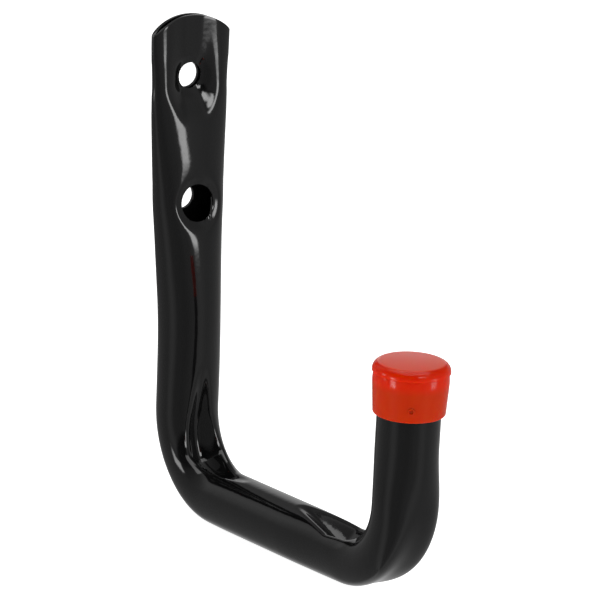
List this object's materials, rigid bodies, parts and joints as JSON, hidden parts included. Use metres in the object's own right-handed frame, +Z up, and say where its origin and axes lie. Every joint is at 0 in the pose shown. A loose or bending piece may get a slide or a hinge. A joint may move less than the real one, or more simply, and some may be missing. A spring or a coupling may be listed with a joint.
{
  "type": "wall hook",
  "caption": "Black wall hook bent from steel tube, its top end pressed flat and pierced for screws, with a red vinyl cap on the upturned tip.",
  "frame": {"origin": "on the wall plane, midway between the two screw holes", "axes": "+Z up along the upright, -Y out from the wall along the arm, X across the tube's plane of symmetry"},
  "size_m": [0.0294, 0.1456, 0.1644],
  "materials": {
    "black_paint": "gloss black powder paint on steel tube",
    "red_vinyl": "translucent red dipped vinyl, glossy"
  },
  "bodies": {
    "root": {"hook_tube": "black_paint", "end_cap": "red_vinyl"}
  },
  "joints": []
}
